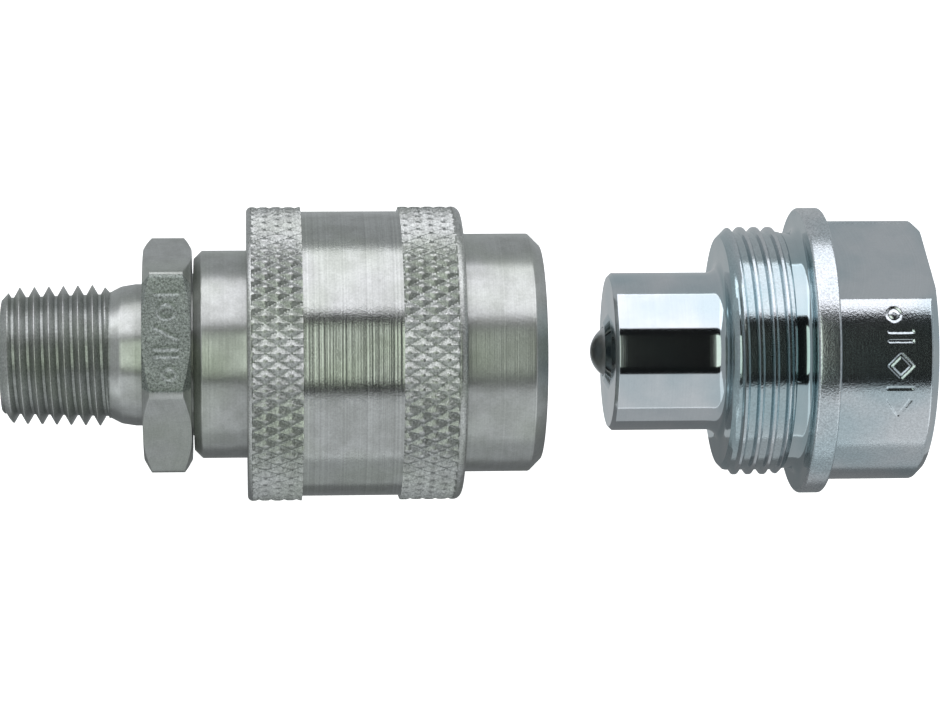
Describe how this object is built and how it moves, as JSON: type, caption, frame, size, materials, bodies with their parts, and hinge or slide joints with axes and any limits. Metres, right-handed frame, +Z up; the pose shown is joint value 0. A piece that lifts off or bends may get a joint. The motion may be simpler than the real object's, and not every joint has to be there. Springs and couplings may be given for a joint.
{
  "type": "quick disconnect coupler",
  "caption": "Screw-together hydraulic quick coupler, shown uncoupled: knurled-collar coupler half with male pipe adapter, and ball-check nipple half with female pipe port.",
  "frame": {"origin": "on the surface the collar lies on, under the axis, halfway along the uncoupled pair", "axes": "+X along the common axis from the coupler's hose end to the nipple's port end, +Z up"},
  "size_m": [0.0904, 0.0288, 0.0289],
  "materials": {
    "satin_zinc_steel": "satin zinc-plated turned steel",
    "bright_zinc_steel": "bright zinc-plated turned steel",
    "ball_steel": "polished hardened ball",
    "spring_steel": "drawn spring wire and strip",
    "nitrile_rubber": "moulded nitrile",
    "ptfe": "skived PTFE"
  },
  "bodies": {
    "coupler": {"hose_adapter": "satin_zinc_steel", "adapter_o_ring": "nitrile_rubber", "coupler_body": "satin_zinc_steel", "probe_o_ring": "nitrile_rubber", "probe_backup_ring": "ptfe", "coupler_valve_seat": "bright_zinc_steel", "coupler_seat_o_ring": "nitrile_rubber", "coupler_seat_retaining_ring": "spring_steel", "coupler_valve_spring": "spring_steel", "coupler_spring_stop": "bright_zinc_steel"},
    "coupler_ball": {"coupler_check_ball": "ball_steel", "coupler_ball_follower": "bright_zinc_steel"},
    "thrust_ring": {"collar_thrust_ring": "bright_zinc_steel"},
    "collar": {"coupling_collar": "satin_zinc_steel"},
    "nipple": {"nipple_body": "bright_zinc_steel", "nipple_valve_spring": "spring_steel", "nipple_spring_retainer": "bright_zinc_steel", "nipple_retaining_ring": "spring_steel"},
    "nipple_ball": {"nipple_check_ball": "ball_steel", "nipple_ball_follower": "bright_zinc_steel"}
  },
  "joints": [
    {"name": "nipple_slide", "type": "slide", "parent": "coupler", "child": "nipple", "axis": [-1, 0, 0], "range_m": [0, 0.01755]},
    {"name": "collar_slide", "type": "slide", "parent": "coupler", "child": "thrust_ring", "axis": [1, 0, 0], "range_m": [-0.005, 0.0157]},
    {"name": "collar_spin", "type": "hinge", "parent": "thrust_ring", "child": "collar", "pos_m": [-0.01117, 0, 0.01445], "axis": [1, 0, 0], "continuous": true},
    {"name": "coupler_ball_lift", "type": "slide", "parent": "coupler", "child": "coupler_ball", "axis": [-1, 0, 0], "range_m": [0, 0.001], "deforming": ["coupler_valve_spring"]},
    {"name": "nipple_ball_lift", "type": "slide", "parent": "nipple", "child": "nipple_ball", "axis": [1, 0, 0], "range_m": [0, 0.001], "deforming": ["nipple_valve_spring"]}
  ],
  "couplings": [
    {"joint": "coupler_ball_lift", "follows": "nipple_slide", "ratio": 0.05698},
    {"joint": "nipple_ball_lift", "follows": "nipple_slide", "ratio": 0.05698}
  ]
}
